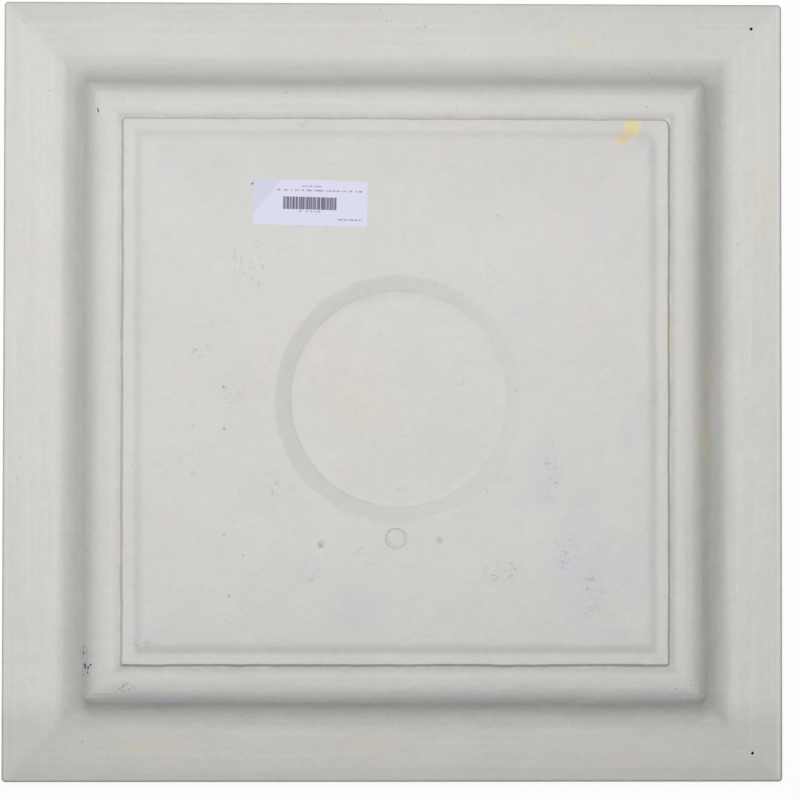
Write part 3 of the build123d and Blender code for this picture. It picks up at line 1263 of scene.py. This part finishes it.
        # where the soiling and painted shade of the lines show more
        dirt_and_shade_patches = paint.noise(17 * MM, 4.0).between(0.28, 0.58)
        colour = self.crease(paint, colour, ragged, sides, dirt_and_shade_patches)
        colour = self.moulding(paint, colour, ragged, sides)
        colour = self.edge(paint, colour, ragged, sides, dirt_and_shade_patches)
        return self.centre(paint, colour, ragged, soft, dirt_and_shade_patches)

    def specks(self, paint: Palette, colour: Field) -> Field:
        """Scatter the fine dark specks of dust and open cells.

        Args:
            paint: The material's palette.
            colour: The colour so far.

        Returns:
            The new colour.
        """
        cells = paint.field("ShaderNodeTexVoronoi", {"feature": "F1"},
                            {"Vector": paint.place, "Scale": 105.0, "Randomness": 1.0}, "Distance")
        some = paint.noise(30 * MM, 2.0).between(0.52, 0.66)
        return paint.darken(cells.between(0.085, 0.05) * some, colour, 0.30)

    def relief(self, paint: Palette) -> Field:
        """Return the normal of the skin's fine unevenness."""
        lumps = paint.noise(14 * MM, 3.0)
        fine = paint.noise(3.2 * MM, 3.0)
        grain = paint.noise(0.7 * MM, 2.0)
        return paint.bump(lumps + fine * 0.24 + grain * 0.03, 1.0 * MM, 0.8)

    def material(self) -> bpy.types.Material:
        """Make the finish.

        Returns:
            The material.
        """
        paint = Palette("foam")
        ragged = paint.wavered(7 * MM, 1.0 * MM)
        loose = paint.wavered(14 * MM, 7.0 * MM)
        soft = paint.wavered(20 * MM, 5.0 * MM)
        colour = self.streaks(paint, self.mottle(paint))
        broken = paint.noise(9 * MM, 4.0, rough=0.6).between(0.36, 0.62, 0.8)
        for wash in self.washes():
            share = self.spot(paint, wash, loose)
            if wash.colour == self.lavender:
                share = share * (0.62 + broken)
            colour = paint.mix(share, colour, wash.colour)
        specked = paint.noise(2.6 * MM, 4.0, rough=0.72).between(0.50, 0.68) * (
            paint.noise(8 * MM, 3.0, rough=0.6).between(0.42, 0.58))
        for stain in self.stains():
            share = self.spot(paint, stain, soft if stain.speckled or stain.turn else ragged)
            if stain.speckled:
                share = share * specked * 2.6
            colour = paint.mix(share, colour, stain.colour)
        colour = self.specks(paint, self.lines(paint, colour, ragged, soft))
        paint.shader.inputs["Specular IOR Level"].default_value = 0.35
        paint.feed({"Base Color": colour, "Normal": self.relief(paint),
                    "Roughness": 0.60 + 0.16 * paint.noise(9 * MM, 3.0)})
        return paint.material

    def inside(self, name: str, colour: Colour) -> bpy.types.Material:
        """Make the dark finish inside a pit or hole: painted shade of a deep cavity, over open cells with
        some soiling.

        Args:
            name: The material's name.
            colour: Its colour where it is lightest.

        Returns:
            The material.
        """
        paint = Palette(name)
        tone = paint.vary(paint.mix(0.0, colour, colour), 0.55 + 0.6 * paint.noise(1.2 * MM, 2.0))
        paint.feed({"Base Color": tone})
        paint.shader.inputs["Roughness"].default_value = 0.9
        return paint.material


@dataclass(frozen=True)
class LabelPaper:
    """Thin pale paper with a stripe block and lines of print that say nothing."""

    patch: Patch
    paper: Colour = (0.645, 0.655, 0.800)
    greyer: Colour = (0.655, 0.650, 0.770)
    ink: Colour = (0.125, 0.115, 0.19)
    size: tuple[float, float] = (87.7 * MM, 35.2 * MM)
    curl: tuple[float, float] = (22 * MM, 28 * MM)

    def bars(self, paint: Palette, x: Field, y: Field) -> Field:
        """Return the block of upright stripes.

        Args:
            paint: The material's palette.
            x: The place along the label.
            y: The place up the label.

        Returns:
            Where it is inked.
        """
        block = (x + 0.4 * MM).size().between(20.7 * MM, 20.4 * MM) * (
            (y + 0.3 * MM).size().between(5.0 * MM, 4.7 * MM))
        strips = paint.field("ShaderNodeCombineXYZ", {}, {"X": x})
        return block * paint.noise(0.75 * MM, 1.0, strips).between(0.37, 0.50)

    def line(self, paint: Palette, x: Field, y: Field, middle: tuple[float, float],
             size: tuple[float, float], grain: float) -> Field:
        """Return one line of illegible dashes.

        Args:
            paint: The material's palette.
            x: The place along the label.
            y: The place up the label.
            middle: The line's middle, in millimetres.
            size: Its length and height, in millimetres.
            grain: About how long a dash is, in millimetres.

        Returns:
            Where it is inked.
        """
        half_x, half_y = size[0] / 2, size[1] / 2
        row = (x - middle[0] * MM).size().between((half_x + 0.1) * MM, half_x * MM) * (
            (y - middle[1] * MM).size().between((half_y + 0.15) * MM, (half_y - 0.1) * MM))
        strips = paint.field("ShaderNodeCombineXYZ", {}, {"X": x, "Y": middle[1] * MM})
        return row * paint.noise(grain * MM, 1.0, strips).between(0.44, 0.50)

    def material(self) -> bpy.types.Material:
        """Make the finish.

        Returns:
            The material.
        """
        paint = Palette("label_paper")
        flat = paint.moved((self.patch.x, self.patch.y, 0), self.patch.turn)
        x, y, _ = paint.axes(flat)
        paper = paint.vary(paint.mix(paint.noise(20 * MM, 3.0), self.paper, self.greyer),
                           0.98 + 0.04 * paint.noise(1.5 * MM, 3.0))
        fold = (x + self.size[0] / 2) / self.curl[0] + (self.size[1] / 2 - y) / self.curl[1]
        # painted shade on the lifted corner beyond the fold line
        curl_shade = fold.between(1.04, 0.88) * (0.45 + 0.55 * fold.between(0.25, 0.85))
        paper = paint.darken(curl_shade, paper, 0.10)
        ink = self.bars(paint, x, y)
        for middle, size, grain in (((1.0, 12.8), (14.0, 1.0), 1.0), ((7.0, 9.6), (66.0, 1.1), 1.0),
                                    ((0.0, -6.6), (17.0, 1.0), 0.9), ((30.5, -12.4), (19.0, 1.2), 1.0)):
            ink = ink.most(self.line(paint, x, y, middle, size, grain) * 0.70)
        height = paint.noise(9 * MM, 2.0) + 0.2 * paint.noise(0.5 * MM, 2.0)
        paint.feed({"Base Color": paint.mix(ink, paper, self.ink),
                    "Normal": paint.bump(height, 0.15 * MM, 0.5),
                    "Roughness": 0.62 + 0.10 * paint.noise(4 * MM, 2.0)})
        return paint.material


@dataclass
class Studio:
    """Floor, light and the camera that looks down on the tile."""

    camera_at: tuple[float, float, float] = (-0.0532, -0.0723, 2.6051)
    camera_turn: tuple[float, float, float] = (1.448, -1.291, 0.074)
    lens: float = 150.0
    floor_side: float = 12.0
    key_from: tuple[float, float, float] = (-0.14, 0.34, 1.9)
    key_size: float = 0.8
    key_power: float = 37.1
    sky: float = 0.05
    floor_white: float = 0.93
    floor_grey: Colour = (0.8, 0.8, 0.8)

    def camera(self) -> None:
        """Place the camera as the photograph's was."""
        data = bpy.data.cameras.new("camera")
        data.lens = self.lens
        data.sensor_width = 36.0
        data.clip_end = 50.0
        camera = bpy.data.objects.new("camera", data)
        camera.location = self.camera_at
        camera.rotation_euler = [math.radians(turn) for turn in self.camera_turn]
        bpy.context.collection.objects.link(camera)
        bpy.context.scene.camera = camera

    def lamps(self) -> None:
        """Hang one large soft lamp beyond the tile's top edge."""
        data = bpy.data.lights.new("key", "AREA")
        data.shape = "SQUARE"
        data.size = self.key_size
        data.energy = self.key_power
        lamp = bpy.data.objects.new("key", data)
        lamp.location = self.key_from
        lamp.rotation_euler = Vector(self.key_from).to_track_quat("Z", "Y").to_euler()
        bpy.context.collection.objects.link(lamp)

    def world(self) -> None:
        """Light the room evenly."""
        world = bpy.data.worlds.new("studio")
        bpy.context.scene.world = world
        world.use_nodes = True
        world.node_tree.nodes["Background"].inputs["Color"].default_value = (1, 1, 1, 1)
        world.node_tree.nodes["Background"].inputs["Strength"].default_value = self.sky

    def floor(self) -> None:
        """Lay the pale floor, which the camera sees as white but for the tile's shadow."""
        Bench.clear()
        bpy.ops.mesh.primitive_plane_add(size=self.floor_side)
        floor = Bench.name("floor")
        paint = Palette("pale_floor")
        paint.shader.inputs["Base Color"].default_value = (*self.floor_grey, 1)
        paint.shader.inputs["Roughness"].default_value = 0.9
        rays = paint.node("ShaderNodeLightPath")
        seen, glossy, through = (Field(paint, rays.outputs[f"Is {kind} Ray"])
                                 for kind in ("Camera", "Glossy", "Transmission"))
        white = paint.field("ShaderNodeMixShader", {}, {
            0: seen.most(glossy).most(through) * self.floor_white,
            1: Field(paint, paint.shader.outputs[0]), 2: paint.field("ShaderNodeEmission")})
        paint.tree.links.new(white.socket, paint.tree.nodes["Material Output"].inputs[0])
        floor.data.materials.append(paint.material)

    def build(self) -> None:
        """Set up the whole studio."""
        self.camera()
        self.lamps()
        self.world()
        self.floor()
        bpy.context.scene.view_settings.view_transform = "Standard"


def main() -> None:
    """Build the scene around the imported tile."""
    logging.basicConfig(level=logging.INFO, format="%(name)s: %(message)s")
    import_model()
    tile_low, tile_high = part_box("ceiling_tile")
    moulded = MouldedTile(side=tile_high.x - tile_low.x, back=tile_high.z)
    foam = Foam(moulded)
    # the pits and holes get dark finishes of painted shade
    tile = moulded.build(foam.material(), foam.inside("foam_pit_shade", foam.pit_shade_and_dust),
                         foam.inside("foam_hole_shade", foam.hole_shade_and_grime))
    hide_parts("ceiling_tile")
    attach(tile, "root")
    LOG.info("tile: %d faces", len(tile.data.polygons))
    label = bpy.data.objects["paper_label"]
    label.material_slots[0].material = LabelPaper(LABEL_PATCH).material()
    LOG.info("label dressed")
    Studio().build()


if __name__ == "__main__":
    main()
